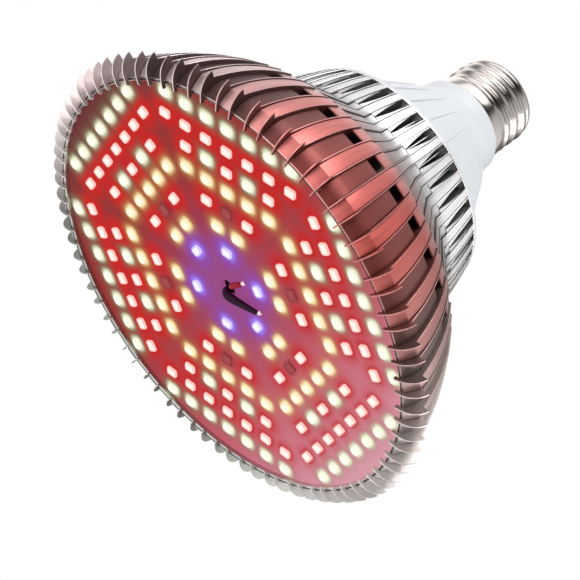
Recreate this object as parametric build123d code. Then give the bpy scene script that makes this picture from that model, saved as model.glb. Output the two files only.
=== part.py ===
from build123d import *
import math
import os

# LED grow light: a round LED board on a folded sheet-metal heat sink, with a
# driver housing behind it and an E27 screw cap. All sizes are in millimetres.
# The lamp stands face down: Z = 0 is the plane of the fin tips round the board,
# and +Z runs up through the housing to the cap's centre contact.

# Heat sink: folded pairs of radial sheet blades on a core tube.
# A pair of numbers is a radius and a height.
FIN_PAIRS = 40
FIN_SHEET = 0.5
PAIR_SPREAD = 4.1  # degrees between the two blades of a folded pair
PAIR_PHASE = -2.3  # degrees from the first LED sector to the first pair
TIP_RADIUS = 69.7
TIP_LENGTH = 5.0
TIP_CHAMFER = 1.0
NOTCH_DEPTH = 2.2
NOTCH_RISE = 0.4
BELL_END = (53.6, 32.5)
BELL_SAG = 1.5
WEB_STEP = 0.8
WAIST_END = (40.0, 46.2)
NECK_TOP = (35.4, 63.2)
WEB_INSET = 0.2
WEB_WIDTH = 0.7
COVER_INSET = 0.6
COVER_START = 0.74  # share of the bell's curve
CORE_RADIUS = 26.0
CORE_WALL = 1.2
HOOK_REACH = 0.8

# Tray, pad and LED board
LIP_STEP = 5.7
LIP_RADIUS = TIP_RADIUS - LIP_STEP
LIP_WALL = 1.2
LIP_FRONT = 1.3
LIP_CHAMFER = 0.35
BOARD_RECESS = 1.4
BOARD_THICK = 1.6
BOARD_GAP = 0.2
BOARD_RADIUS = LIP_RADIUS - LIP_WALL - BOARD_GAP
PAD_THICK = 0.3
PAD_MARGIN = 1.5
TRAY_FLOOR = 1.6
TRAY_HOLE = 4.0
WIRE_HOLE = 2.7
PIN_HOLE = 0.6
PIN_HOLE_PLACE = (4.5, 5.1)

# LEDs: straight rows, the same in each of the six sectors
SECTORS = 6
ROW_MARGIN = 7.2
INNER_ROW = 13.1
PITCH_SHARE = 1.058  # of the step between two rows
LED_LENGTH = 3.5
LED_WIDTH = 2.8
LED_HEIGHT = 0.7
ROWS = [
    ["white"] * 7,
    ["red"] * 7,
    ["red", "white", "red", "white", "red"],
    ["warm"] * 5,
    ["red", "infrared", "red"],
    ["warm"] * 2,
    ["blue"],
]
ROW_RADIUS = BOARD_RADIUS - ROW_MARGIN
ROW_STEP = (ROW_RADIUS - INNER_ROW) / (len(ROWS) - 1)
LED_PITCH = ROW_STEP * PITCH_SHARE

# Output leads, from the driver board to their solder joints on the LED board
LEAD_RADIUS = 0.65
LEAD_GAP = 0.05
LEAD_BEND = 1.0
LEAD_SIDES = 8
LEAD_REACH = 1.1
LEAD_RISE = 9.0
RED_PAD = (-2.5, 7.7)
BLACK_PAD = (-10.3, 5.0)
SOLDER_RADIUS = 1.5
SOLDER_TOP = 0.9
SOLDER_HEIGHT = 1.55

# Driver housing: a flange on the heat sink, a ribbed cone and a collar.
# A step is how far out of the cap's skirt and how far below the seam a point is.
SEAM_HEIGHT = 97.8
SHELL_SKIRT = 13.3
FLANGE_STEP = 0.4
FLANGE_RADIUS = NECK_TOP[0] - FLANGE_STEP
FLANGE_THICK = 1.2
CONE_STEP = 3.5
CONE_BASE = FLANGE_RADIUS - CONE_STEP
CONE_END_STEP = (6.0, 12.0)
SHOULDER_STEP = (3.6, 9.2)
COLLAR_START_STEP = (1.8, 5.0)
COLLAR_END_STEP = (1.4, 0.8)
COLLAR_ROUND = 0.6
HOUSING_WALL = 1.5
SPIGOT_WALL = 1.4
SPIGOT_DEPTH = 5.2
RIBS = 24
RIB_WIDTH = 2.6
RIB_RAISE = 0.5
RIB_INSET = 2.0
RIB_END_GAP = 0.6
CAP_NECK_STEP = 1.1
CAP_NECK = SHELL_SKIRT - CAP_NECK_STEP
CAP_NECK_WALL = 1.4
CAP_NECK_DROP = 4.4

# Insulating cup inside the core tube
CUP_GAP = 0.2
CUP_WALL = 1.4
CUP_TOP_GAP = 0.3
FIT_GAP = 0.1

# Driver board: a plate on edge in the cup, and the parts that stand on it.
# A place is a distance across the board and a height above the cup's floor.
# A round part has a radius and a height, a square one two sides and a height.
# The parts are drawn for a cup of one bore, and follow the cup's real bore.
DRIVER_THICK = 1.6
DRIVER_SIDE_GAP = 0.5
SHOULDER_GAP = 0.5
NARROW_GAP = 3.8
DRIVER_DROP = 13.8
DRAWN_BORE = 23.2
CORE_SIZE = (18.0, 17.0, 8.0)
CORE_LEG = 5.0
CORE_WINDOW = 3.6
CORE_STAND = 3.0
CORE_PLACE = (-8.0, 22.0)
WINDING_PLAY = 0.2
MAIN_CAPACITOR = (5.0, 14.0)
MAIN_PLACE = (8.0, 15.0)
OUTPUT_CAPACITOR = (4.0, 12.0)
OUTPUT_PLACE = (9.0, 30.0)
FILM_CAPACITOR = (12.0, 5.0, 10.0)
FILM_PLACE = (-2.0, 43.0)
CHOKE_RING = (4.5, 8.0)
CHOKE_BORE = 1.8
CHOKE_PLACE = (-8.0, 40.0)
RECTIFIER = (6.5, 6.5, 2.6)
RECTIFIER_PLACE = (0.0, 50.0)
DRIVER_CHIP = (5.0, 4.0, 1.6)
CHIP_PLACE = (0.0, 28.0)
VARISTOR = (3.5, 3.0)
VARISTOR_ACROSS = -8.0
FUSE_RESISTOR = (1.8, 9.0)
RESISTOR_ACROSS = 8.5
TOP_ROW_DROP = 10.4

# Screw cap: shell, insulator, centre contact and the two leads to them
SKIRT_LENGTH = 5.2
CREST_STEP = 0.25
SHELL_RADIUS = SHELL_SKIRT - CREST_STEP
SHELL_LENGTH = 18.6
SHELL_END = SEAM_HEIGHT + SHELL_LENGTH
SHELL_CHAMFER = 1.4
SHELL_WALL = 0.4
MOUTH_STEP = 3.6
SHELL_MOUTH = SHELL_SKIRT - MOUTH_STEP
INSULATOR_GRIP = 0.9
INSULATOR_THICK = 1.2
INSULATOR_GAP = 0.2
INSULATOR_TAPER = 4.1
INSULATOR_RISE = 4.0
STEM_RADIUS = 2.2
CONTACT_STEP = 1.0
CONTACT_RIM = 0.8
CONTACT_DOME = 1.4
CONTACT_SHOULDER = 2.6
CONTACT_SHARE = 0.8  # of the dome, reached at its shoulder
CAP_LEAD_RADIUS = 0.6
CAP_LEAD_REACH = 1.6
CAP_LEAD_DROP = 6.0
LIVE_TURN_DROP = 8.4
NEUTRAL_ACROSS = 6.0
NEUTRAL_GAP = 2.3
NEUTRAL_RISE = 1.4

# Heights and radii that follow from the sizes above
BOARD_FRONT = LIP_FRONT + BOARD_RECESS
BOARD_BACK = BOARD_FRONT + BOARD_THICK
PAD_BACK = BOARD_BACK + PAD_THICK
TRAY_BACK = PAD_BACK + TRAY_FLOOR
NECK_HEIGHT = NECK_TOP[1]
FLANGE_TOP = NECK_HEIGHT + FLANGE_THICK
CUP_FLOOR = TRAY_BACK + CUP_WALL
CUP_RADIUS = CORE_RADIUS - CORE_WALL - CUP_GAP
CUP_BORE = CUP_RADIUS - CUP_WALL
SHELL_INSIDE = SHELL_END - SHELL_WALL
INSULATOR_BACK = SHELL_INSIDE - INSULATOR_THICK
INSULATOR_TOP = (SHELL_MOUTH - INSULATOR_TAPER, SHELL_END + INSULATOR_RISE)
CAP_NECK_TOP = SHELL_END - CAP_NECK_DROP
DRIVER_TOP = SEAM_HEIGHT - DRIVER_DROP
DRIVER_SHOULDER = NECK_HEIGHT - SPIGOT_DEPTH - SHOULDER_GAP
CAP_LEAD_START = DRIVER_TOP - CAP_LEAD_DROP
TOP_ROW = DRIVER_TOP - TOP_ROW_DROP
BASE = (Align.CENTER, Align.CENTER, Align.MIN)


def bulged(start, end, sag):
    """An arc in the radial plane that bulges outwards by sag, or inwards if it is negative."""
    along = (end[0] - start[0], end[1] - start[1])
    length = math.hypot(*along)
    middle = (
        (start[0] + end[0]) / 2 + sag * along[1] / length,
        (start[1] + end[1]) / 2 - sag * along[0] / length,
    )
    return ThreePointArc(start, middle, end)


def beside_cap(step):
    """A point of the housing, out of the cap's skirt and below the seam by a step."""
    return (SHELL_SKIRT + step[0], SEAM_HEIGHT - step[1])


def turned(section):
    """The solid that a section in the radial plane makes when it is turned about the axis."""
    return revolve(Plane.XZ * section, Axis.Z)


# The outer edge of a blade: rim tooth, bell, waist and neck
TOOTH_END = (TIP_RADIUS, TIP_LENGTH)
BELL_START = (TIP_RADIUS - NOTCH_DEPTH, TIP_LENGTH + NOTCH_RISE)
WAIST_START = (BELL_END[0] - WEB_STEP, BELL_END[1])
BELL = bulged(BELL_START, BELL_END, BELL_SAG)
NECK = Line(WAIST_END, NECK_TOP)


def blade():
    """One radial blade, hooked over the tray's lip at the rim."""
    inner = CORE_RADIUS - CORE_WALL / 2
    hook = LIP_RADIUS - LIP_WALL - HOOK_REACH
    outline = [
        NECK,
        Polyline(
            NECK_TOP,
            (inner, NECK_HEIGHT),
            (inner, TRAY_BACK),
            (LIP_RADIUS, TRAY_BACK),
            (LIP_RADIUS, LIP_FRONT),
            (hook, LIP_FRONT),
            (hook, 0),
            (TIP_RADIUS - TIP_CHAMFER, 0),
            (TIP_RADIUS, TIP_CHAMFER),
            TOOTH_END,
            BELL_START,
        ),
        BELL,
        Polyline(BELL_END, WAIST_START, WAIST_END),
    ]
    return extrude(Plane.XZ * make_face(outline), FIN_SHEET / 2, both=True)


def strip(curve, inset):
    """The section of a sheet that follows a curve, a little inside it."""
    outer = Pos(-inset, 0) * curve
    inner = Pos(-inset - WEB_WIDTH, 0) * curve
    ends = [Line(outer @ 0, inner @ 0), Line(outer @ 1, inner @ 1)]
    return make_face([outer, inner] + ends)


def web(curve, inset, angle):
    """A flat strip along a curve, from one blade to the next one an angle away."""
    half = TIP_RADIUS * math.tan(math.radians(angle / 2))
    between = Polyline((0, 0), (TIP_RADIUS, -half), (TIP_RADIUS, half), close=True)
    flat = extrude(Plane.XZ * strip(curve, inset), half, both=True)
    return flat & extrude(make_face(between), NECK_HEIGHT)


def folded_pair():
    """Two blades with the webs that join them, and the cover of the gap to the next pair."""
    pitch = 360 / FIN_PAIRS
    start = BELL @ COVER_START
    waist = Line((start.X, start.Y), WAIST_END)
    cover = web(waist, COVER_INSET, pitch - PAIR_SPREAD)
    sides = [Rot(0, 0, side * PAIR_SPREAD / 2) * blade() for side in (-1, 1)]
    webs = [web(curve, WEB_INSET, PAIR_SPREAD) for curve in (BELL, NECK)]
    return sides + webs + [Rot(0, 0, pitch / 2) * cover]


def heat_sink():
    """All folded pairs round their core tube."""
    tube = RegularPolygon(CORE_RADIUS, FIN_PAIRS) - Circle(CORE_RADIUS - CORE_WALL)
    core = Pos(0, 0, TRAY_BACK) * extrude(tube, NECK_HEIGHT - TRAY_BACK)
    pair = folded_pair()
    pieces = [
        Rot(0, 0, index * 360 / FIN_PAIRS) * piece
        for index in range(FIN_PAIRS)
        for piece in pair
    ]
    return Rot(0, 0, PAIR_PHASE) * (core + pieces)


def led_tray():
    """The dished disc that carries the board, with its rolled lip."""
    inner = LIP_RADIUS - LIP_WALL
    section = Polyline(
        (inner, LIP_FRONT + LIP_CHAMFER),
        (inner + LIP_CHAMFER, LIP_FRONT),
        (LIP_RADIUS - LIP_CHAMFER, LIP_FRONT),
        (LIP_RADIUS, LIP_FRONT + LIP_CHAMFER),
        (LIP_RADIUS, TRAY_BACK),
        (TRAY_HOLE, TRAY_BACK),
        (TRAY_HOLE, PAD_BACK),
        (inner, PAD_BACK),
        close=True,
    )
    return turned(make_face(section))


def thermal_pad():
    """The thin disc between the LED board and the tray."""
    disc = Circle(BOARD_RADIUS - PAD_MARGIN) - Circle(TRAY_HOLE)
    return Pos(0, 0, BOARD_BACK) * extrude(disc, PAD_THICK)


def led_board():
    """The metal-cored board, with the hole for the leads and one pin hole."""
    disc = Circle(BOARD_RADIUS) - Circle(WIRE_HOLE)
    disc -= Pos(*PIN_HOLE_PLACE) * Circle(PIN_HOLE)
    return Pos(0, 0, BOARD_FRONT) * extrude(disc, BOARD_THICK)


def leds(kind):
    """All LED packages of one kind, flat on the front of the board."""
    package = Box(LED_WIDTH, LED_LENGTH, LED_HEIGHT)
    if kind == "infrared":
        package = Box(LED_LENGTH, LED_LENGTH, LED_HEIGHT)
    height = BOARD_FRONT - LED_HEIGHT / 2
    packages = []
    for sector in range(SECTORS):
        for row, kinds in enumerate(ROWS):
            radius = ROW_RADIUS - row * ROW_STEP
            for index, name in enumerate(kinds):
                across = (index - (len(kinds) - 1) / 2) * LED_PITCH
                if name == kind:
                    turn = Rot(0, 0, sector * 360 / SECTORS)
                    packages.append(turn * Pos(radius, across, height) * package)
    return Compound(packages)


def tube(points, radius, bend):
    """A lead along straight runs joined by arcs, with flat sides that keep it light."""
    path = FilletPolyline(*points, radius=bend)
    start = Plane(origin=path @ 0, z_dir=path % 0)
    return sweep(start * RegularPolygon(radius, LEAD_SIDES), path=path)


def output_lead(side, pad):
    """A lead off one face of the driver board, down through the hole and out to its pad."""
    face = side * DRIVER_THICK / 2
    beside = face + side * LEAD_REACH
    start = CUP_FLOOR + LEAD_RISE
    level = BOARD_FRONT - LEAD_RADIUS - LEAD_GAP
    points = [(0, face, start), (0, beside, start), (0, beside, level), (*pad, level)]
    return tube(points, LEAD_RADIUS, LEAD_BEND)


def solder_joints(leads):
    """Blunt cones of solder round the ends of the two output leads."""
    cone = Rot(180, 0, 0) * Cone(SOLDER_RADIUS, SOLDER_TOP, SOLDER_HEIGHT, align=BASE)
    joints = []
    for pad, lead in zip((RED_PAD, BLACK_PAD), leads):
        joints.append(Pos(*pad, BOARD_FRONT) * cone - lead)
    return Compound(joints)


def driver_cup():
    """The insulating cup that lines the core tube."""
    height = NECK_HEIGHT - CUP_TOP_GAP - TRAY_BACK
    cup = Cylinder(CUP_RADIUS, height, align=BASE)
    cup -= Pos(0, 0, CUP_WALL) * Cylinder(CUP_BORE, height, align=BASE)
    cup -= Cylinder(TRAY_HOLE, CUP_WALL, align=BASE)
    return Pos(0, 0, TRAY_BACK) * cup


# The housing's outer edge
CONE_END = beside_cap(CONE_END_STEP)
SHOULDER_MIDDLE = beside_cap(SHOULDER_STEP)
COLLAR_START = beside_cap(COLLAR_START_STEP)
COLLAR_END = beside_cap(COLLAR_END_STEP)


def cone_radius(height):
    """The radius of the housing's cone at a height."""
    share = (height - FLANGE_TOP) / (CONE_END[1] - FLANGE_TOP)
    return CONE_BASE + (CONE_END[0] - CONE_BASE) * share


def housing_rib():
    """One low rib along the cone, rooted in its wall."""
    low = FLANGE_TOP + RIB_INSET
    high = CONE_END[1] - RIB_END_GAP
    side = Polyline(
        (cone_radius(low) - RIB_RAISE, low),
        (cone_radius(low) + RIB_RAISE, low + RIB_RAISE),
        (cone_radius(high) + RIB_RAISE, high - RIB_RAISE),
        (cone_radius(high) - RIB_RAISE, high),
        close=True,
    )
    return extrude(Plane.XZ * make_face(side), RIB_WIDTH / 2, both=True)


def driver_housing():
    """The moulded housing: spigot, flange, ribbed cone, collar and the neck in the cap."""
    spigot = CUP_BORE - FIT_GAP
    neck_bore = CAP_NECK - CAP_NECK_WALL
    collar_edge = (COLLAR_END[0] - COLLAR_ROUND, SEAM_HEIGHT)
    section = Polyline(
        (spigot, NECK_HEIGHT),
        (FLANGE_RADIUS, NECK_HEIGHT),
        (FLANGE_RADIUS, FLANGE_TOP),
        (CONE_BASE, FLANGE_TOP),
        CONE_END,
        SHOULDER_MIDDLE,
        COLLAR_START,
        COLLAR_END,
        collar_edge,
        (CAP_NECK, SEAM_HEIGHT),
        (CAP_NECK, CAP_NECK_TOP),
        (neck_bore, CAP_NECK_TOP),
        (neck_bore, COLLAR_START[1]),
        (CONE_END[0] - HOUSING_WALL, CONE_END[1]),
        (CONE_BASE - HOUSING_WALL, FLANGE_TOP),
        (spigot - SPIGOT_WALL, FLANGE_TOP),
        (spigot - SPIGOT_WALL, NECK_HEIGHT - SPIGOT_DEPTH),
        (spigot, NECK_HEIGHT - SPIGOT_DEPTH),
        close=True,
    )
    rib = housing_rib()
    ribs = [Rot(0, 0, (index + 0.5) * 360 / RIBS) * rib for index in range(RIBS)]
    return turned(make_face(section)) + ribs


def driver_board():
    """The upright driver board, wide in the cup and narrow in the cone."""
    wide = CUP_BORE - DRIVER_SIDE_GAP
    narrow = CONE_END[0] - HOUSING_WALL - NARROW_GAP
    outline = Polyline(
        (-wide, CUP_FLOOR),
        (wide, CUP_FLOOR),
        (wide, DRIVER_SHOULDER),
        (narrow, DRIVER_SHOULDER),
        (narrow, DRIVER_TOP),
        (-narrow, DRIVER_TOP),
        (-narrow, DRIVER_SHOULDER),
        (-wide, DRIVER_SHOULDER),
        close=True,
    )
    return extrude(Plane.XZ * make_face(outline), DRIVER_THICK / 2, both=True)


def stand(piece, side, across, level, lift=0):
    """A piece standing on one face of the driver board: side is -1 in front and 1 behind."""
    face = side * (DRIVER_THICK / 2 + lift)
    return Plane((across, face, level), x_dir=(1, 0, 0), z_dir=(0, side, 0)) * piece


def on_board(place, side, piece, lift=0):
    """A piece on the board in the cup, with its place and size following the cup's bore."""
    fit = CUP_BORE / DRAWN_BORE
    across, height = place
    fitted = scale(piece, by=fit)
    return stand(fitted, side, across * fit, CUP_FLOOR + height * fit, lift * fit)


def transformer_core():
    """The transformer's core, a block with two windows beside its middle leg."""
    length, width, depth = CORE_SIZE
    core = Box(length, width, depth, align=BASE)
    for side in (-1, 1):
        across = side * (CORE_LEG + CORE_WINDOW) / 2
        core -= Pos(across, 0, 0) * Box(CORE_WINDOW, width - CORE_LEG, depth, align=BASE)
    return on_board(CORE_PLACE, -1, core, CORE_STAND)


def transformer_winding():
    """The winding round the middle leg, through both windows and down to the board."""
    length, width, depth = CORE_SIZE
    reach = CORE_LEG + 2 * CORE_WINDOW - 2 * WINDING_PLAY
    winding = Box(reach, width - CORE_LEG - 2 * WINDING_PLAY, depth + 2 * CORE_STAND, align=BASE)
    hollow = Box(CORE_LEG + 2 * WINDING_PLAY, width, depth, align=BASE)
    return on_board(CORE_PLACE, -1, winding - Pos(0, 0, CORE_STAND) * hollow)


def round_part(size, place, side):
    """A round part that stands on the driver board."""
    return on_board(place, side, Cylinder(*size, align=BASE))


def square_part(size, place, side):
    """A square part that stands on the driver board."""
    return on_board(place, side, Box(*size, align=BASE))


def filter_choke():
    """The ring-shaped choke."""
    bore = Cylinder(CHOKE_BORE, CHOKE_RING[1], align=BASE)
    return on_board(CHOKE_PLACE, 1, Cylinder(*CHOKE_RING, align=BASE) - bore)


def screw_shell():
    """The sheet-metal screw shell: skirt, thread zone and turned-in mouth."""
    skirt_end = SEAM_HEIGHT + SKIRT_LENGTH
    inner = SHELL_RADIUS - SHELL_WALL
    section = Polyline(
        (SHELL_SKIRT, SEAM_HEIGHT),
        (SHELL_SKIRT, skirt_end),
        (SHELL_RADIUS, skirt_end + SHELL_WALL),
        (SHELL_RADIUS, SHELL_END - SHELL_CHAMFER),
        (SHELL_RADIUS - SHELL_CHAMFER, SHELL_END),
        (SHELL_MOUTH, SHELL_END),
        (SHELL_MOUTH, SHELL_INSIDE),
        (inner - SHELL_CHAMFER, SHELL_INSIDE),
        (inner, SHELL_INSIDE - SHELL_CHAMFER),
        (inner, SEAM_HEIGHT),
        close=True,
    )
    return turned(make_face(section))


def cap_insulator():
    """The moulded insulator that closes the shell and carries the centre contact."""
    base = SHELL_MOUTH + INSULATOR_GRIP
    neck = SHELL_MOUTH - INSULATOR_GAP
    section = Polyline(
        (STEM_RADIUS, INSULATOR_BACK),
        (base, INSULATOR_BACK),
        (base, SHELL_INSIDE),
        (neck, SHELL_INSIDE),
        (neck, SHELL_END),
        INSULATOR_TOP,
        (STEM_RADIUS, INSULATOR_TOP[1]),
        close=True,
    )
    return turned(make_face(section))


def centre_contact():
    """The domed contact with its stem through the insulator."""
    edge, base = INSULATOR_TOP
    edge -= CONTACT_STEP
    rim = base + CONTACT_RIM
    section = Polyline(
        (0, INSULATOR_BACK),
        (STEM_RADIUS, INSULATOR_BACK),
        (STEM_RADIUS, base),
        (edge, base),
        (edge, rim),
        (CONTACT_SHOULDER, rim + CONTACT_DOME * CONTACT_SHARE),
        (0, rim + CONTACT_DOME),
        close=True,
    )
    return turned(make_face(section))


def live_lead():
    """The lead from the driver board to the contact's stem."""
    face = -DRIVER_THICK / 2
    beside = face - CAP_LEAD_REACH
    points = [
        (0, face, CAP_LEAD_START),
        (0, beside, CAP_LEAD_START),
        (0, 0, SHELL_END - LIVE_TURN_DROP),
        (0, 0, INSULATOR_BACK),
    ]
    return tube(points, CAP_LEAD_RADIUS, LEAD_BEND)


def neutral_lead():
    """The lead from the driver board over the housing's neck to the shell's wall."""
    face = DRIVER_THICK / 2
    beside = face + CAP_LEAD_REACH
    level = CAP_NECK_TOP + NEUTRAL_RISE
    turn = CAP_NECK - CAP_NECK_WALL - NEUTRAL_GAP
    points = [
        (NEUTRAL_ACROSS, face, CAP_LEAD_START),
        (NEUTRAL_ACROSS, beside, CAP_LEAD_START),
        (turn, beside, level),
        (SHELL_RADIUS, beside, level),
    ]
    inside = Cylinder(SHELL_RADIUS - SHELL_WALL, SHELL_END, align=BASE)
    return tube(points, CAP_LEAD_RADIUS, LEAD_BEND) & inside


red_lead = output_lead(1, RED_PAD)
black_lead = output_lead(-1, BLACK_PAD)

nodes = {
    "heat_sink": heat_sink(),
    "led_tray": led_tray(),
    "thermal_pad": thermal_pad(),
    "led_board": led_board(),
    "white_leds": leds("white"),
    "red_leds": leds("red"),
    "warm_leds": leds("warm"),
    "blue_leds": leds("blue"),
    "infrared_leds": leds("infrared"),
    "red_lead": red_lead,
    "black_lead": black_lead,
    "solder_joints": solder_joints([red_lead, black_lead]),
    "driver_cup": driver_cup(),
    "driver_housing": driver_housing(),
    "driver_board": driver_board(),
    "transformer_core": transformer_core(),
    "transformer_winding": transformer_winding(),
    "main_capacitor": round_part(MAIN_CAPACITOR, MAIN_PLACE, -1),
    "output_capacitor": round_part(OUTPUT_CAPACITOR, OUTPUT_PLACE, -1),
    "film_capacitor": square_part(FILM_CAPACITOR, FILM_PLACE, -1),
    "filter_choke": filter_choke(),
    "bridge_rectifier": square_part(RECTIFIER, RECTIFIER_PLACE, 1),
    "driver_chip": square_part(DRIVER_CHIP, CHIP_PLACE, 1),
    "varistor": stand(Cylinder(*VARISTOR, align=BASE), -1, VARISTOR_ACROSS, TOP_ROW),
    "fuse_resistor": stand(Cylinder(*FUSE_RESISTOR, align=BASE), -1, RESISTOR_ACROSS, TOP_ROW),
    "screw_shell": screw_shell(),
    "cap_insulator": cap_insulator(),
    "centre_contact": centre_contact(),
    "live_lead": live_lead(),
    "neutral_lead": neutral_lead(),
}

os.makedirs("parts", exist_ok=True)
for name, shape in nodes.items():
    export_step(shape, f"parts/{name}.step")
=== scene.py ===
# %% [markdown]
# # An LED grow light
#
# The lamp is a round board of small coloured diodes. The board sits in a metal
# tray at the front of a heat sink made of folded fins. Behind the heat sink is
# a white plastic housing for the driver, and it ends in a screw cap.
# The solids come from the frame, so this lesson adds what a camera close by
# would see: the finishes, the diodes' windows, the soft leads, the thread and
# the finer sheets of the fins.

# %% Load the frame
import bpy
import math
from mathutils import Matrix, Vector


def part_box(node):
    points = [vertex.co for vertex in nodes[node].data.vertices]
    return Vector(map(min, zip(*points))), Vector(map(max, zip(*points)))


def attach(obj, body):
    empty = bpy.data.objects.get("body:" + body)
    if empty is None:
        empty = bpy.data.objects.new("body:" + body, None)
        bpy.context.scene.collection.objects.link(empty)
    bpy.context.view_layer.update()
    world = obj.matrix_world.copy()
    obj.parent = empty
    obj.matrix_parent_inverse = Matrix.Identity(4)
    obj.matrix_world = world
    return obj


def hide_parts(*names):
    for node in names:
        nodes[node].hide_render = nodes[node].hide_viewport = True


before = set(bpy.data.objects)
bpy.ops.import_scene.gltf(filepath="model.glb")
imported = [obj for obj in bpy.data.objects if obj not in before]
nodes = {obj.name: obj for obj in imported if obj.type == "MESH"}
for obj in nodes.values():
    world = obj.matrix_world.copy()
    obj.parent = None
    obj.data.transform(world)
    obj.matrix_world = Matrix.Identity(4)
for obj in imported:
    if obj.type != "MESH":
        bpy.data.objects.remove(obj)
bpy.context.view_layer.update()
scene = bpy.context.scene

# %% [markdown]
# ## Camera
#
# The picture is taken from below and to one side, with a long lens, and the
# camera is turned so that the lamp leans. A fixed place and two directions say
# all of that, and they were measured by fitting the rims of the lamp.

# %% Camera
IMAGE = 580
FOCAL_PIXELS = 2400
SENSOR = 36.0
CLIP_START = 0.05
CLIP_END = 50.0
CAMERA_PLACE = Vector((-0.05847, 0.55141, -0.32643))
CAMERA_RIGHT = Vector((-0.62117, 0.37512, 0.68806))
CAMERA_UP = Vector((0.78017, 0.37893, 0.49774))


def add_camera():
    """A long-lens camera at the picture's angle."""
    data = bpy.data.cameras.new("camera")
    data.sensor_width = SENSOR
    data.lens = FOCAL_PIXELS / IMAGE * SENSOR
    data.clip_start = CLIP_START
    data.clip_end = CLIP_END
    camera = bpy.data.objects.new("camera", data)
    scene.collection.objects.link(camera)
    back = CAMERA_RIGHT.cross(CAMERA_UP).normalized()
    turn = Matrix((CAMERA_RIGHT, CAMERA_UP, back)).transposed()
    camera.matrix_world = Matrix.Translation(CAMERA_PLACE) @ turn.to_4x4()
    scene.camera = camera
    return camera


camera = add_camera()
print("camera at", tuple(round(v, 4) for v in camera.location))

# %% [markdown]
# ## Node helpers
#
# The room, the floor and every finish are small node trees. A few helpers keep
# them short: they add a node, do a sum, run a value through a colour ramp and
# mix colours. Two more measure how far round the lamp's axis a place is, and
# how long a diagonal is.

# %% Node helpers
MM = 0.001
WHITE = (1.0, 1.0, 1.0)


def feed(value, socket):
    """Gives an input another node's output, a colour or a number."""
    if isinstance(value, bpy.types.NodeSocket):
        socket.id_data.links.new(value, socket)
    elif isinstance(value, tuple):
        socket.default_value = (*value, 1.0)
    else:
        socket.default_value = value


def node_beside(kind, *values):
    """A new node in the tree of the first socket among some values."""
    sockets = [value for value in values if isinstance(value, bpy.types.NodeSocket)]
    return sockets[0].id_data.nodes.new(kind)


def set_inputs(node, values):
    """Feeds a node's inputs by name, with an underscore for each space."""
    for label, value in values.items():
        feed(value, node.inputs[label.replace("_", " ")])
    return node


def new_node(tree, kind, **values):
    """A new node with some of its inputs set."""
    return set_inputs(tree.nodes.new(kind), values)


def ramp(share, stops, interpolation="LINEAR"):
    """A colour ramp through (place, grey or colour) stops."""
    node = node_beside("ShaderNodeValToRGB", share)
    node.color_ramp.interpolation = interpolation
    elements = node.color_ramp.elements
    while len(elements) < len(stops):
        elements.new(0.5)
    for element, (place, colour) in zip(elements, stops):
        element.position = place
        if isinstance(colour, float):
            colour = (colour, colour, colour)
        element.color = (*colour, 1.0)
    feed(share, node.inputs["Fac"])
    return node.outputs["Color"]


def maths(operation, *values, clamp=False):
    """A maths node; each value is a socket or a number."""
    node = node_beside("ShaderNodeMath", *values)
    node.operation = operation
    node.use_clamp = clamp
    for socket, value in zip(node.inputs, values):
        feed(value, socket)
    return node.outputs[0]


def mix_colour(factor, first, second, blend="MIX"):
    """Two colours mixed; each is a socket or a plain colour."""
    node = node_beside("ShaderNodeMix", factor, first, second)
    node.data_type = "RGBA"
    node.blend_type = blend
    set_inputs(node, {"Factor": factor, "A": first, "B": second})
    return node.outputs["Result"]


def dimmed(colour, share):
    """A colour times a share."""
    return mix_colour(1.0, colour, share, "MULTIPLY")


def turn_share(place):
    """How far round the axis a place is, from 0 at -X to 1 there again."""
    turn = maths("ARCTAN2", place["Y"], place["X"])
    return maths("MULTIPLY_ADD", turn, 0.5 / math.pi, 0.5)


def diagonal(first, second):
    """The length of a diagonal from its two sides."""
    squares = [maths("MULTIPLY", side, side) for side in (first, second)]
    return maths("SQRT", maths("ADD", *squares))


# %% [markdown]
# ## World
#
# The picture is a bright studio shot: the background is pure white and the
# polished metal mirrors a few dark things in a white room. The world does both.
# What the camera sees, or sees through glass, is white. What the metal mirrors
# is white too, with soft dark bands like black cards beside the lamp.

# %% World
AMBIENT = 0.55
MIRRORED = 1.2
# places round the room, as a share of a turn, and how bright the room is there
CARDS = [
    (0.0, 1.0), (0.08, 0.95), (0.14, 0.12), (0.2, 0.1), (0.26, 1.0), (0.42, 1.0),
    (0.5, 0.25), (0.56, 1.0), (0.7, 0.9), (0.76, 0.08), (0.82, 0.08), (0.88, 1.0),
]
# the same from straight down to straight up
LEVELS = [(0.0, 0.55), (0.3, 0.9), (0.42, 0.35), (0.5, 0.9), (0.8, 1.0), (1.0, 0.8)]


def mix_shaders(factor, first, second):
    """The second shader where the factor is 1, and the first elsewhere."""
    node = node_beside("ShaderNodeMixShader", factor)
    for socket, source in zip(node.inputs, (factor, first.outputs[0], second.outputs[0])):
        feed(source, socket)
    return node


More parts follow.
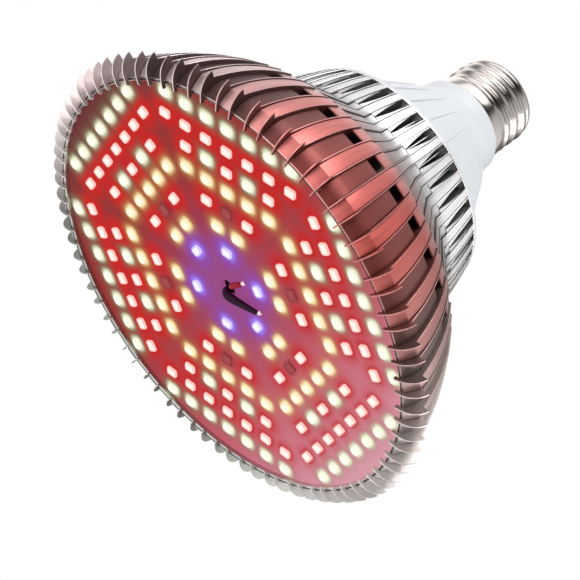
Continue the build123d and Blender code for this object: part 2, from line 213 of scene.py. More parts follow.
def build_world():
    """White to the camera, a white room with dark cards to the metal."""
    world = bpy.data.worlds.new("studio")
    world.use_nodes = True
    scene.world = world
    tree = world.node_tree
    tree.nodes.clear()
    output = tree.nodes.new("ShaderNodeOutputWorld")
    coordinates = tree.nodes.new("ShaderNodeTexCoord")
    split = tree.nodes.new("ShaderNodeSeparateXYZ")
    feed(coordinates.outputs["Generated"], split.inputs[0])
    cards = ramp(turn_share(split.outputs), CARDS, "EASE")
    height = maths("MULTIPLY_ADD", split.outputs["Z"], 0.5, 0.5)
    room = dimmed(cards, ramp(height, LEVELS, "EASE"))
    mirrored = new_node(tree, "ShaderNodeBackground", Color=room, Strength=MIRRORED)
    ambient = new_node(tree, "ShaderNodeBackground", Color=WHITE, Strength=AMBIENT)
    seen = new_node(tree, "ShaderNodeBackground", Color=WHITE, Strength=1.0)
    ray = tree.nodes.new("ShaderNodeLightPath").outputs
    glossy = mix_shaders(ray["Is Glossy Ray"], ambient, mirrored)
    direct = maths("MAXIMUM", ray["Is Camera Ray"], ray["Is Transmission Ray"])
    final = mix_shaders(direct, glossy, seen)
    feed(final.outputs[0], output.inputs["Surface"])


build_world()
scene.view_settings.view_transform = "Standard"
print("world:", scene.world.name)

# %% [markdown]
# ## Lamps and floor
#
# Three large soft lamps give the form its light side and its shade. The lamp
# hangs as from a ceiling holder, with its lit face down, so the pale floor is
# a metre below it.

# %% Lamps and floor
# name, place and size in metres, and watts
LAMPS = [
    ("key_lamp", (0.3, 0.95, 0.9), 0.8, 9.5),
    ("side_lamp", (-1.0, -0.1, 0.1), 0.7, 4),
    ("face_lamp", (0.5, 0.8, -0.7), 0.9, 3),
]
LAMP_AIM = Vector((0, 0, 0.06))
FLOOR_DEPTH = 1.0
FLOOR_SIZE = 6
FLOOR_COLOUR = (0.86, 0.86, 0.86)
FLOOR_LIFT = 0.5


def add_area(name, place, size, watts):
    """A square soft lamp aimed at the middle of the object."""
    data = bpy.data.lights.new(name, "AREA")
    data.energy = watts
    data.size = size
    lamp = bpy.data.objects.new(name, data)
    scene.collection.objects.link(lamp)
    lamp.location = place
    lamp.rotation_euler = (LAMP_AIM - Vector(place)).to_track_quat("-Z", "Y").to_euler()


def floor_material():
    """Pale paint that keeps a shadow, lifted to white for the eye and mirrors."""
    material = bpy.data.materials.new("pale_floor")
    material.use_nodes = True
    tree = material.node_tree
    tree.nodes.clear()
    output = tree.nodes.new("ShaderNodeOutputMaterial")
    paint = new_node(tree, "ShaderNodeBsdfDiffuse", Color=FLOOR_COLOUR)
    ray = tree.nodes.new("ShaderNodeLightPath").outputs
    seen = maths("MAXIMUM", ray["Is Camera Ray"], ray["Is Glossy Ray"])
    seen = maths("MAXIMUM", seen, ray["Is Transmission Ray"])
    strength = maths("MULTIPLY", seen, FLOOR_LIFT)
    lift = new_node(tree, "ShaderNodeEmission", Color=WHITE, Strength=strength)
    both = tree.nodes.new("ShaderNodeAddShader")
    feed(paint.outputs[0], both.inputs[0])
    feed(lift.outputs[0], both.inputs[1])
    feed(both.outputs[0], output.inputs["Surface"])
    return material


for lamp in LAMPS:
    add_area(*lamp)
bpy.ops.mesh.primitive_plane_add(size=FLOOR_SIZE, location=(0, 0, -FLOOR_DEPTH))
floor = bpy.context.active_object
floor.name = "floor"
floor.data.materials.append(floor_material())
print("floor", FLOOR_DEPTH, "m below the fin tips")

# %% [markdown]
# ## Shared effects
#
# Three small node groups are used in many finishes. Fine grain is the faint
# mottle of moulded plastic and lacquer. Drawn streaks are the lines that
# rolling leaves in sheet metal. Red wash is the tint that the lit diodes throw
# on the metal near them: strong at the rim, and gone at the housing.

# %% Node groups
STREAKS_ROUND = 90.0
STREAKS_ALONG = 0.05


def start_group(name, inputs, outputs=("Value",)):
    """A shader group of float inputs and outputs: its tree, inputs and outputs."""
    tree = bpy.data.node_groups.new(name, "ShaderNodeTree")
    for label, value in inputs.items():
        socket = tree.interface.new_socket(label, in_out="INPUT", socket_type="NodeSocketFloat")
        socket.default_value = value
    for label in outputs:
        tree.interface.new_socket(label, in_out="OUTPUT", socket_type="NodeSocketFloat")
    given = tree.nodes.new("NodeGroupInput").outputs
    out = tree.nodes.new("NodeGroupOutput").inputs
    return tree, given, out


def object_millimetres(tree):
    """The object's own coordinates in millimetres."""
    coordinates = tree.nodes.new("ShaderNodeTexCoord")
    scaled = tree.nodes.new("ShaderNodeVectorMath")
    scaled.operation = "SCALE"
    scaled.inputs["Scale"].default_value = 1 / MM
    feed(coordinates.outputs["Object"], scaled.inputs[0])
    return scaled.outputs[0]


def position(tree):
    """The same coordinates as X, Y and Z."""
    split = tree.nodes.new("ShaderNodeSeparateXYZ")
    feed(object_millimetres(tree), split.inputs[0])
    return split.outputs


def centred(noise, amount):
    """A noise that goes as far below nought as above it."""
    return maths("MULTIPLY", maths("SUBTRACT", noise.outputs["Fac"], 0.5), amount)


def build_grain():
    """A faint mottle: Size is its grain in millimetres."""
    tree, given, out = start_group("fine_grain", {"Size": 1.0, "Amount": 1.0})
    noise = new_node(tree, "ShaderNodeTexNoise", Vector=object_millimetres(tree),
                     Scale=maths("DIVIDE", 1.0, given["Size"]), Detail=3.0, Roughness=0.6)
    feed(centred(noise, given["Amount"]), out["Value"])
    return tree


def build_streaks():
    """Lines that run along the fins: they change fast round the axis, slowly along it."""
    tree, given, out = start_group("drawn_streaks", {"Fineness": 1.0, "Amount": 1.0})
    place = position(tree)
    turn = maths("ARCTAN2", place["Y"], place["X"])
    around = maths("MULTIPLY", turn, STREAKS_ROUND)
    stretched = new_node(
        tree, "ShaderNodeCombineXYZ", X=maths("MULTIPLY", around, given["Fineness"]),
        Y=maths("MULTIPLY", place["Z"], STREAKS_ALONG),
    )
    noise = new_node(tree, "ShaderNodeTexNoise", Vector=stretched.outputs[0], Scale=1.0,
                     Detail=4.0, Roughness=0.65)
    feed(centred(noise, given["Amount"]), out["Value"])
    return tree


def build_wash():
    """1 at the lit rim and 0 where the red light no longer reaches."""
    tree, given, out = start_group("red_wash", {"Full Until": 20.0, "Gone By": 58.0})
    spread = new_node(tree, "ShaderNodeMapRange", Value=position(tree)["Z"],
                      From_Min=given["Full Until"], From_Max=given["Gone By"],
                      To_Min=1.0, To_Max=0.0)
    spread.interpolation_type = "SMOOTHSTEP"
    feed(spread.outputs[0], out["Value"])
    return tree


grain = build_grain()
streaks = build_streaks()
wash = build_wash()
print("groups:", grain.name, streaks.name, wash.name)

# %% [markdown]
# ## Finishes
#
# Every finish is one Principled BSDF. A helper sets its plain numbers on the
# shader itself, and a finish then adds what changes over the surface.

# %% Finish helpers
ROUGHNESS_WAVER = 0.15
MOTTLE_SHARE = 0.9


def finish(name, colour, roughness, metallic=0.0, **plain):
    """A new material: returns it, its node tree and its shader."""
    material = bpy.data.materials.new(name)
    material.use_nodes = True
    tree = material.node_tree
    plain.update({"Base Color": colour, "Roughness": roughness, "Metallic": metallic})
    shader = set_inputs(tree.nodes["Principled BSDF"], plain)
    return material, tree, shader


def use_group(tree, group, **values):
    """A group placed in a material with its own values: returns its outputs."""
    node = tree.nodes.new("ShaderNodeGroup")
    node.node_tree = group
    return set_inputs(node, values).outputs


def vary_roughness(shader, source, amount, base, low=0.0):
    """Lets the roughness waver about its plain number."""
    total = maths("MULTIPLY_ADD", source, amount, base)
    kept = maths("MINIMUM", maths("MAXIMUM", total, low), 1.0)
    feed(kept, shader.inputs["Roughness"])


def mottled(mottle, colour, share):
    """A colour that wavers between itself and a share of itself."""
    darker = tuple(part * share for part in colour)
    return mix_colour(maths("ADD", mottle, 0.5), darker, colour)


def bump(shader, source, depth):
    """Bump of a depth in millimetres from a varying value."""
    node = node_beside("ShaderNodeBump", source)
    set_inputs(node, {"Height": source, "Distance": depth * MM})
    feed(node.outputs[0], shader.inputs["Normal"])


def moulded(name, colour, roughness, grain_size=0.6, depth=0.02, **plain):
    """Moulded plastic, rubber or lacquer with a fine grain."""
    material, tree, shader = finish(name, colour, roughness, **plain)
    mottle = use_group(tree, grain, Size=grain_size, Amount=1.0)[0]
    vary_roughness(shader, mottle, ROUGHNESS_WAVER, roughness)
    feed(mottled(mottle, colour, MOTTLE_SHARE), shader.inputs["Base Color"])
    bump(shader, mottle, depth)
    return material


def dress(material, *names):
    """Gives CAD nodes their finish."""
    for name in names:
        nodes[name].data.materials.clear()
        nodes[name].data.materials.append(material)


# %% [markdown]
# ### Fin metal
#
# The fins are bright rolled aluminium, and their colour is painted light: the
# lit diodes' red light and the shade on each side are painted in. The colour
# goes round the lamp from plain silver through dusty pink to salmon, and it
# fades to silver towards the housing. The sides of the blades and the plates
# that are set back mirror each other, so they get a darker set of colours, a
# painted shade. The blades' edges get a painted highlight, and the waist a
# painted dark reflection of something on the camera's side.

# %% Fin metal
SILVER = (0.93, 0.92, 0.92)
SHADE = (0.20, 0.195, 0.19)
GLINT = (1.0, 0.98, 0.98)
# share of a turn from the -X side, and the colour at the rim there, painted light and shade
OPEN_PAINTED_LIGHT = [
    (0.0, (0.88, 0.82, 0.80)),
    (0.08, (0.80, 0.76, 0.74)),
    (0.16, (0.46, 0.46, 0.43)),
    (0.36, (0.40, 0.40, 0.37)),
    (0.46, (0.86, 0.80, 0.79)),
    (0.55, (0.88, 0.76, 0.76)),
    (0.64, (0.72, 0.55, 0.54)),
    (0.7, (0.68, 0.22, 0.20)),
    (0.8, (0.66, 0.13, 0.11)),
    (0.87, (0.50, 0.24, 0.22)),
    (0.93, (0.74, 0.62, 0.60)),
    (1.0, (0.88, 0.82, 0.80)),
]
# the same for the blades' sides and the set-back plates: darker, a painted shade
SET_BACK_PAINTED_SHADE = [
    (0.0, (0.76, 0.72, 0.70)),
    (0.08, (0.66, 0.63, 0.61)),
    (0.16, (0.34, 0.34, 0.31)),
    (0.36, (0.26, 0.25, 0.23)),
    (0.46, (0.74, 0.67, 0.66)),
    (0.54, (0.58, 0.46, 0.46)),
    (0.6, (0.115, 0.075, 0.07)),
    (0.67, (0.115, 0.055, 0.05)),
    (0.74, (0.27, 0.045, 0.038)),
    (0.82, (0.22, 0.048, 0.04)),
    (0.87, (0.12, 0.075, 0.065)),
    (0.91, (0.28, 0.22, 0.20)),
    (0.96, (0.60, 0.55, 0.53)),
    (1.0, (0.76, 0.72, 0.70)),
]
WASH_FULL = 24.0
WASH_GONE = 50.0
STREAK_FINENESS = 0.6
STREAK_CONTRAST = 0.7
STREAK_LEVEL = 0.94
STREAK_DEPTH = 0.015
LEAST_ROUGHNESS = 0.08
# how much light the waist keeps, by share of the shade's height
WAIST_SHADE = [(0.46, 1.0), (0.58, 0.5), (0.7, 0.56), (0.8, 1.0)]
SHADE_HEIGHT = 64.0
# how much of that shade there is, by share of a turn
WAIST_SIDE = [(0.58, 0.0), (0.74, 1.0), (0.9, 0.9), (1.0, 0.2)]
# a painted shade line round the tray's lip, from its inner to its outer edge
LIP_PAINTED_SHADE = [(0.0, 0.9), (0.25, 0.85), (0.36, 0.08), (0.66, 0.08), (0.78, 0.8), (1.0, 0.6)]
LIP_INNER = 62.8
LIP_EDGE = 64.0


def fin_metal(name, tints, far_colour, roughness, lift=0.0, metallic=1.0):
    """Rolled sheet with painted light: its colour goes round the lamp and fades up the fins."""
    material, tree, shader = finish(name, far_colour, roughness, metallic=metallic)
    place = position(tree)
    turn = turn_share(place)
    lines = use_group(tree, streaks, Fineness=STREAK_FINENESS, Amount=1.0)[0]
    near = use_group(tree, wash, Full_Until=WASH_FULL, Gone_By=WASH_GONE)[0]
    # lift lightens the colours towards white, a painted highlight
    raised = [(share, tuple(c + (1 - c) * lift for c in tint)) for share, tint in tints]
    # painted light of the diodes: the red wash near the rim and the colour round the lamp
    tinted = mix_colour(near, far_colour, ramp(turn, raised))
    lined = maths("MULTIPLY_ADD", lines, STREAK_CONTRAST, STREAK_LEVEL)
    shaded = dimmed(tinted, lined)
    # painted dark reflection on the waist, on the camera's side
    level = maths("DIVIDE", place["Z"], SHADE_HEIGHT)
    darker = dimmed(shaded, ramp(level, WAIST_SHADE, "EASE"))
    shaded = mix_colour(ramp(turn, WAIST_SIDE), shaded, darker)
    feed(shaded, shader.inputs["Base Color"])
    vary_roughness(shader, lines, ROUGHNESS_WAVER, roughness, LEAST_ROUGHNESS)
    bump(shader, lines, STREAK_DEPTH)
    return material, tree, shader, shaded


def lip_metal():
    """Fin metal, lightened as a painted highlight, with a painted shade line round the tray's
    lip.
    """
    material, tree, shader, shaded = fin_metal("tray_metal", OPEN_PAINTED_LIGHT, SILVER, 0.3, 0.2)
    place = position(tree)
    past = maths("SUBTRACT", diagonal(place["X"], place["Y"]), LIP_INNER)
    share = maths("DIVIDE", past, LIP_EDGE - LIP_INNER)
    feed(dimmed(shaded, ramp(share, LIP_PAINTED_SHADE)), shader.inputs["Base Color"])
    return material


# the plain sheet carries the painted light of the diodes, the edge metal a painted highlight and
# the slot metal a painted shade
sheet_metal = fin_metal("sheet_metal", OPEN_PAINTED_LIGHT, SILVER, 0.43, metallic=0.8)[0]
painted_highlight_metal = fin_metal("painted_highlight_metal", OPEN_PAINTED_LIGHT, GLINT, 0.35, 0.12)[0]
painted_shade_metal = fin_metal("painted_shade_metal", SET_BACK_PAINTED_SHADE, SHADE, 0.4, metallic=0.5)[0]
dress(sheet_metal, "heat_sink")
dress(lip_metal(), "led_tray")
print("fin metal on heat_sink and led_tray")

# %% [markdown]
# ### Plain finishes
#
# Most of the other solids keep their shape. Each gets the colour and grain of
# the real thing: white moulded housing, dark glassy insulator, plated contact,
# and the driver's parts inside, which only a cut-away would show. The solder's
# pink and the black sleeve's purple cast are painted light of the diodes. The
# screw shell has a painted reflection of the room, in bands that go round it.

# %% Plain finishes
# painted reflection: how much of the room the shell mirrors, by share of a turn
SHELL_PAINTED_REFLECTION = [
    (0.0, 0.75), (0.2, 0.9), (0.44, 0.9), (0.47, 0.14), (0.52, 0.16), (0.56, 1.0),
    (0.69, 1.0), (0.73, 0.36), (0.77, 0.26), (0.81, 0.4), (0.88, 0.56), (1.0, 0.75),
]
SHELL_COLOUR = (0.84, 0.78, 0.745)
PLATED_GRAIN = 0.5
PLATED_WAVER = 0.12
PLATED_DEPTH = 0.01
# name, colour, roughness and nodes
DRIVER_FINISHES = [
    ("cup_plastic", (0.72, 0.72, 0.70), 0.5, ["driver_cup"]),
    ("green_laminate", (0.02, 0.12, 0.05), 0.35, ["driver_board"]),
    ("ferrite", (0.03, 0.03, 0.032), 0.6, ["transformer_core", "filter_choke"]),
    ("yellow_tape", (0.75, 0.5, 0.06), 0.35, ["transformer_winding"]),
    ("can_sleeve", (0.02, 0.025, 0.06), 0.3, ["main_capacitor", "output_capacitor"]),
    ("film_case", (0.55, 0.3, 0.04), 0.4, ["film_capacitor"]),
    ("chip_case", (0.015, 0.015, 0.017), 0.5, ["bridge_rectifier", "driver_chip"]),
    ("blue_dip", (0.02, 0.08, 0.3), 0.3, ["varistor"]),
    ("green_dip", (0.05, 0.2, 0.12), 0.35, ["fuse_resistor"]),
]


def plated(name, colour, roughness):
    """Plated metal with a faint grain: returns it, its node tree and its shader."""
    material, tree, shader = finish(name, colour, roughness, metallic=1.0)
    mottle = use_group(tree, grain, Size=PLATED_GRAIN, Amount=1.0)[0]
    vary_roughness(shader, mottle, PLATED_WAVER, roughness)
    bump(shader, mottle, PLATED_DEPTH)
    return material, tree, shader


def shell_metal():
    """Nickel with the room's dark bands as a painted reflection."""
    material, tree, shader = plated("nickel", SHELL_COLOUR, 0.2)
    bands = ramp(turn_share(position(tree)), SHELL_PAINTED_REFLECTION, "EASE")
    feed(dimmed(SHELL_COLOUR, bands), shader.inputs["Base Color"])
    return material


nickel = shell_metal()
# the solder's pink is painted red light of the diodes
solder = plated("solder", (0.85, 0.62, 0.68), 0.35)[0]
red_sleeve = moulded("red_sleeve", (0.42, 0.012, 0.03), 0.5, Specular_IOR_Level=0.2)
# the black sleeve's purple cast is painted light of the red and blue diodes
black_sleeve = moulded("black_sleeve", (0.030, 0.006, 0.026), 0.5, Specular_IOR_Level=0.12)
dress(nickel, "screw_shell")
dress(solder, "solder_joints")
dress(red_sleeve, "red_lead", "live_lead")
dress(black_sleeve, "black_lead", "neutral_lead")
dress(plated("brass_tip", (0.8, 0.72, 0.55), 0.22)[0], "centre_contact")
dress(moulded("white_plastic", (0.78, 0.80, 0.83), 0.45, 0.8, 0.01), "driver_housing")
dress(moulded("dark_glass", (0.03, 0.03, 0.035), 0.18, 0.5, 0.01), "cap_insulator")
dress(moulded("soft_pad", (0.3, 0.32, 0.35), 0.7, 0.4, 0.05), "thermal_pad")
for name, colour, roughness, wearers in DRIVER_FINISHES:
    dress(moulded(name, colour, roughness), *wearers)
print("finishes so far:", len(bpy.data.materials))

# %% [markdown]
# ## The lit board
#
# A lit diode is too bright for the camera, so round each one the picture shows
# a halo in its colour. The board's finish paints these halos on as glow, and the
# rest of its colour is painted light too: the diodes' red light, brighter towards
# the lower right, and a purple glow at the middle. It finds the nearest diode by
# sums: it folds the board's six equal sectors onto one, and measures how far a
# point is from the rows there. So the painted halos sit exactly on the diodes, at
# any size.

# %% Board lay-out
SECTORS = 6
SECTOR_TURN = 2 * math.pi / SECTORS
ROW_RADIUS = 55.4
ROW_STEP = 7.05
PITCH = 7.46
LED_WIDTH = 2.8
LED_LENGTH = 3.5
HALO_CORNER = 1.0
ROWS = [
    ["white"] * 7,
    ["red"] * 7,
    ["red", "white", "red", "white", "red"],
    ["warm"] * 5,
    ["red", "infrared", "red"],
    ["warm"] * 2,
    ["blue"],
]


def row_offsets(kinds, kind):
    """How many pitches from the sector's middle line each diode of a kind sits."""
    middle = (len(kinds) - 1) / 2
    return [index - middle for index, name in enumerate(kinds) if name == kind]


def build_fold():
    """Folds the board's sectors onto one: Along its middle line and Across it."""
    tree, _, out = start_group("sector_fold", {}, ("Along", "Across"))
    place = position(tree)
    turn = maths("ARCTAN2", place["Y"], place["X"])
    sector = maths("ROUND", maths("DIVIDE", turn, SECTOR_TURN))
    inside = maths("SUBTRACT", turn, maths("MULTIPLY", sector, SECTOR_TURN))
    radius = diagonal(place["X"], place["Y"])
    across = maths("MULTIPLY", radius, maths("SINE", inside))
    feed(maths("MULTIPLY", radius, maths("COSINE", inside)), out["Along"])
    feed(maths("ABSOLUTE", across), out["Across"])
    return tree


def beyond(value, middle, half):
    """How far a value lies outside half a width on either side of a middle."""
    off = maths("ABSOLUTE", maths("SUBTRACT", value, middle))
    return maths("MAXIMUM", maths("SUBTRACT", off, half), 0.0)


def build_reach():
    """How far a point is, in millimetres, from the nearest diode of one row.

    First is where the row's first diode sits beside the middle line, Step the
    way to the next one, and More how many more there are on that side.
    """
    inputs = {"Along": 0.0, "Across": 0.0, "Row": 0.0, "First": 0.0, "Step": 1.0, "More": 0.0}
    tree, given, out = start_group("diode_reach", inputs, ("Distance",))
    past = maths("SUBTRACT", given["Across"], given["First"])
    index = maths("ROUND", maths("DIVIDE", past, given["Step"]))
    index = maths("MINIMUM", maths("MAXIMUM", index, 0.0), given["More"])
    middle = maths("MULTIPLY_ADD", index, given["Step"], given["First"])
    side = beyond(given["Across"], middle, LED_LENGTH / 2 - HALO_CORNER)
    front = beyond(given["Along"], given["Row"], LED_WIDTH / 2 - HALO_CORNER)
    away = maths("SUBTRACT", diagonal(side, front), HALO_CORNER)
    feed(maths("MAXIMUM", away, 0.0), out["Distance"])
    return tree


fold = build_fold()
reach = build_reach()
print("diodes on the board:", SECTORS * sum(len(row) for row in ROWS))

# %% Board finish
# painted glow of the board from the pale lower right to the dark upper left, by x
BOARD_PAINTED_GLOW = [
    (0.02, (0.70, 0.33, 0.39)),
    (0.13, (0.63, 0.21, 0.27)),
    (0.26, (0.55, 0.115, 0.15)),
    (0.42, (0.40, 0.055, 0.07)),
    (0.65, (0.33, 0.028, 0.028)),
    (0.85, (0.26, 0.030, 0.028)),
    (0.97, (0.15, 0.030, 0.030)),
]
BOARD_HALF = 62.6
BOARD_GLOW = 0.95
# painted wide halo round each diode: colour, reach in millimetres and strength
HALOS = {
    "white": ((0.20, 0.165, 0.09), 2.3, 0.95),
    "warm": ((0.50, 0.20, 0.05), 2.2, 0.85),
    "red": ((0.60, 0.010, 0.007), 2.2, 0.9),
    "blue": ((0.26, 0.07, 0.52), 4.0, 0.85),
}
# painted close glow round each diode: colour and reach
GLOWS = {
    "white": ((0.80, 0.82, 0.58), 0.9),
    "warm": ((0.95, 0.74, 0.38), 0.85),
    "red": ((0.78, 0.04, 0.035), 0.4),
    "blue": ((0.36, 0.22, 1.0), 1.1),
}
# painted red light round the red diodes, and a painted purple glow at the middle
RED_FLOOD = (0.58, 0.010, 0.007)
FLOOD_REACH = 3.9
CENTRE_PAINTED_GLOW = (0.30, 0.07, 0.26)
CENTRE_REACH = 15.0
PRINT_TONE = (0.22, 0.008, 0.014)
PRINT_PLACE = 0.8
PRINT_REACH = 0.16
# how these grow or fade over the board: slope and start
FLOOD_SHARE = (1.3, 0.1)
HALO_SHARE = (1.2, 0.3)
PRINT_SHARE = (-0.5, 0.6)


def falloff(distance, spread, strength=1.0):
    """A soft bell curve of a distance."""
    ratio = maths("DIVIDE", distance, spread)
    bell = maths("POWER", 1 / math.e, maths("MULTIPLY", ratio, ratio))
    return maths("MULTIPLY", bell, strength)


def nearest(values):
    """The smallest of several values."""
    least = values[0]
    for value in values[1:]:
        least = maths("MINIMUM", least, value)
    return least


def diode_distances(tree, folded):
    """For each kind of diode, how far a point is from the nearest in each row."""
    distances = {}
    for row, kinds in enumerate(ROWS):
        for kind in dict.fromkeys(kinds):
            places = sorted({abs(offset) * PITCH for offset in row_offsets(kinds, kind)})
            step = places[1] - places[0] if len(places) > 1 else PITCH
            distance = use_group(
                tree, reach, Along=folded["Along"], Across=folded["Across"],
                Row=ROW_RADIUS - row * ROW_STEP, First=places[0], Step=step,
                More=float(len(places) - 1),
            )[0]
            distances.setdefault(kind, []).append(distance)
    return distances


def board_finish():
    """Lacquer with the diodes' light painted on it as glow."""
    material, tree, shader = finish(
        "lit_board", (0.012, 0.003, 0.004), 0.5,
        Specular_IOR_Level=0.05, Emission_Strength=BOARD_GLOW,
    )
    place = maths("MULTIPLY_ADD", position(tree)["X"], 0.5 / BOARD_HALF, 0.5)
    flooded, haloed, marked = (
        maths("MULTIPLY_ADD", place, *share, clamp=True)
        for share in (FLOOD_SHARE, HALO_SHARE, PRINT_SHARE)
    )
    folded = use_group(tree, fold)
    distances = diode_distances(tree, folded)
    own = {kind: nearest(values) for kind, values in distances.items()}
    # painted light: the red flood round the red diodes, the glow at the middle and the halos; the
    # print is the board's own
    flood = falloff(own["red"], FLOOD_REACH, 0.95)
    colour = ramp(place, BOARD_PAINTED_GLOW)
    colour = mix_colour(maths("MULTIPLY", flood, flooded), colour, RED_FLOOD)
    centre = falloff(folded["Along"], CENTRE_REACH, 0.9)
    colour = mix_colour(centre, colour, CENTRE_PAINTED_GLOW)
    for kind, (tone, spread, strength) in HALOS.items():
        halo = falloff(own[kind], spread, strength)
        colour = mix_colour(maths("MULTIPLY", halo, haloed), colour, tone)
    off_line = maths("SUBTRACT", nearest(list(own.values())), PRINT_PLACE)
    printed = maths("MULTIPLY", falloff(off_line, PRINT_REACH), marked)
    colour = mix_colour(printed, colour, PRINT_TONE)
    for kind, (tone, spread) in GLOWS.items():
        colour = mix_colour(falloff(own[kind], spread), colour, tone)
    feed(colour, shader.inputs["Emission Color"])
    return material


lit_board = board_finish()
dress(lit_board, "led_board")
print("board finish:", len(lit_board.node_tree.nodes), "nodes")

# %% [markdown]
# ## Diodes
#
# Each diode is a small moulded frame round a window of phosphor. One is
# modelled: a block, a window inset in its front and pushed in a little,
# and a soft bevel. Then it is copied to each place of its colour.

# %% Modelling helpers
# a face whose normal reaches this along an axis is taken to face that way
FACING = 0.9


def select_only(*pieces):
    """Selects these pieces alone, in object mode, with the first one active."""
    if bpy.context.object and bpy.context.object.mode != "OBJECT":
        bpy.ops.object.mode_set(mode="OBJECT")
    bpy.ops.object.select_all(action="DESELECT")
    for piece in pieces:
        piece.select_set(True)
    if pieces:
        bpy.context.view_layer.objects.active = pieces[0]


def edit_whole(piece):
    """Edit mode on one piece, with all of it selected."""
    select_only(piece)
    bpy.ops.object.mode_set(mode="EDIT")
    bpy.ops.mesh.select_all(action="SELECT")


def edit_some(piece, kind, test):
    """Edit mode on one piece, with the edges or faces that a test picks."""
    bpy.ops.object.mode_set(mode="EDIT")
    bpy.ops.mesh.select_mode(type=kind)
    bpy.ops.mesh.select_all(action="DESELECT")
    bpy.ops.object.mode_set(mode="OBJECT")
    for element in piece.data.edges if kind == "EDGE" else piece.data.polygons:
        element.select = test(element)
    bpy.ops.object.mode_set(mode="EDIT")


def apply_modifier(piece, kind, **values):
    """Adds a modifier, sets it and applies it."""
    select_only(piece)
    modifier = piece.modifiers.new(kind.lower(), kind)
    for label, value in values.items():
        setattr(modifier, label, value)
    bpy.ops.object.modifier_apply(modifier=modifier.name)


def apply_place():
    """Moves the active object's place and size into its mesh."""
    bpy.ops.object.transform_apply(location=True, rotation=True, scale=True)


def smooth(piece, degrees):
    """Smooth shading, apart from edges sharper than an angle."""
    select_only(piece)
    bpy.ops.object.shade_smooth_by_angle(angle=math.radians(degrees))


def joined(pieces, name):
    """Several pieces made into one."""
    select_only(*pieces)
    bpy.ops.object.join()
    pieces[0].name = pieces[0].data.name = name
    return pieces[0]


def copies(pattern, places, name):
    """One piece made of a pattern's copies at several places, without the pattern."""
    made = []
    for place in places:
        twin = bpy.data.objects.new(name, pattern.data.copy())
        scene.collection.objects.link(twin)
        twin.data.transform(place)
        made.append(twin)
    bpy.data.objects.remove(pattern)
    return joined(made, name)


def line_piece(name, points, closed=False):
    """A line through (radius, height) points, as a mesh without faces."""
    count = len(points)
    data = bpy.data.meshes.new(name)
    places = [(radius * MM, 0, height * MM) for radius, height in points]
    ends = count if closed else count - 1
    data.from_pydata(places, [(i, (i + 1) % count) for i in range(ends)], [])
    piece = bpy.data.objects.new(name, data)
    scene.collection.objects.link(piece)
    return piece


# %% Diodes
LED_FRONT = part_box("white_leds")[0].z
LED_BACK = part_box("white_leds")[1].z
WINDOW_RIM = 0.38 * MM
WINDOW_DEPTH = 0.12 * MM
LED_BEVEL = 0.08 * MM
SHARP_EDGE = math.radians(60)
PHOSPHOR_GRAIN = 0.5
PHOSPHOR_SHARE = 0.93
UNLIT_CORNER = 0.5
# a dark red glow painted on the unlit diodes, for the red light round them
UNLIT_RIM_PAINTED_RED = (0.26, 0.028, 0.032)
UNLIT_WINDOW_PAINTED_RED = (0.36, 0.045, 0.055)
# colour: the frame round the window, the window and the corners' radius
LIT = {
    "white": ((0.97, 0.97, 0.78), (1.0, 1.0, 0.93), 1.1),
    "red": ((1.0, 0.62, 0.56), (1.0, 0.95, 0.88), 0.6),
    "warm": ((1.0, 0.90, 0.58), (1.0, 0.98, 0.84), 1.1),
    "blue": ((0.72, 0.62, 1.0), (0.97, 0.95, 1.0), 0.9),
}


def model_diode(width, length, corner):
    """A moulded frame with a sunken window, facing down, its corners rounded."""
    select_only()
    height = LED_BACK - LED_FRONT
    bpy.ops.mesh.primitive_cube_add(size=1, location=(0, 0, LED_FRONT + height / 2))
    diode = bpy.context.active_object
    diode.scale = (width * MM, length * MM, height)
    apply_place()

    def upright(edge):
        low, high = (diode.data.vertices[index].co for index in edge.vertices)
        return abs(low.z - high.z) > height / 2

    edit_some(diode, "EDGE", upright)
    bpy.ops.mesh.bevel(offset=corner * MM, segments=2)
    bpy.ops.object.mode_set(mode="OBJECT")
    diode.data.materials.append(None)
    diode.data.materials.append(None)
    edit_some(diode, "FACE", lambda face: face.normal.z < -FACING)
    bpy.ops.mesh.inset(thickness=WINDOW_RIM)
    bpy.ops.mesh.extrude_region_move(TRANSFORM_OT_translate={"value": (0, 0, WINDOW_DEPTH)})
    diode.active_material_index = 1
    bpy.ops.object.material_slot_assign()
    bpy.ops.object.mode_set(mode="OBJECT")
    apply_modifier(diode, "BEVEL", width=LED_BEVEL, segments=1, limit_method="ANGLE",
                   angle_limit=SHARP_EDGE)
    return diode


def led_places(kind):
    """Where the diodes of a kind sit."""
    places = []
    for sector in range(SECTORS):
        turn = Matrix.Rotation(SECTOR_TURN * sector, 4, "Z")
        for row, kinds in enumerate(ROWS):
            along = ROW_RADIUS - row * ROW_STEP
            for offset in row_offsets(kinds, kind):
                places.append(turn @ Matrix.Translation((along * MM, offset * PITCH * MM, 0)))
    return places


def glowing(name, colour):
    """A surface that shines by itself, a little uneven like real phosphor."""
    material, tree, shader = finish(
        name, (0.02, 0.02, 0.02), 0.5, Specular_IOR_Level=0.1, Emission_Strength=1.0
    )
    mottle = use_group(tree, grain, Size=PHOSPHOR_GRAIN, Amount=0.5)[0]
    uneven = mottled(mottle, colour, PHOSPHOR_SHARE)
    feed(uneven, shader.inputs["Emission Color"])
    return material


for kind, (rim, window, corner) in LIT.items():
    pattern = model_diode(LED_WIDTH, LED_LENGTH, corner)
    pattern.data.materials[0] = glowing(f"{kind}_frame", rim)
    pattern.data.materials[1] = glowing(f"{kind}_window", window)
    piece = copies(pattern, led_places(kind), f"{kind}_diodes")
    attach(piece, "root")
    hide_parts(f"{kind}_leds")
    print(piece.name, len(led_places(kind)))

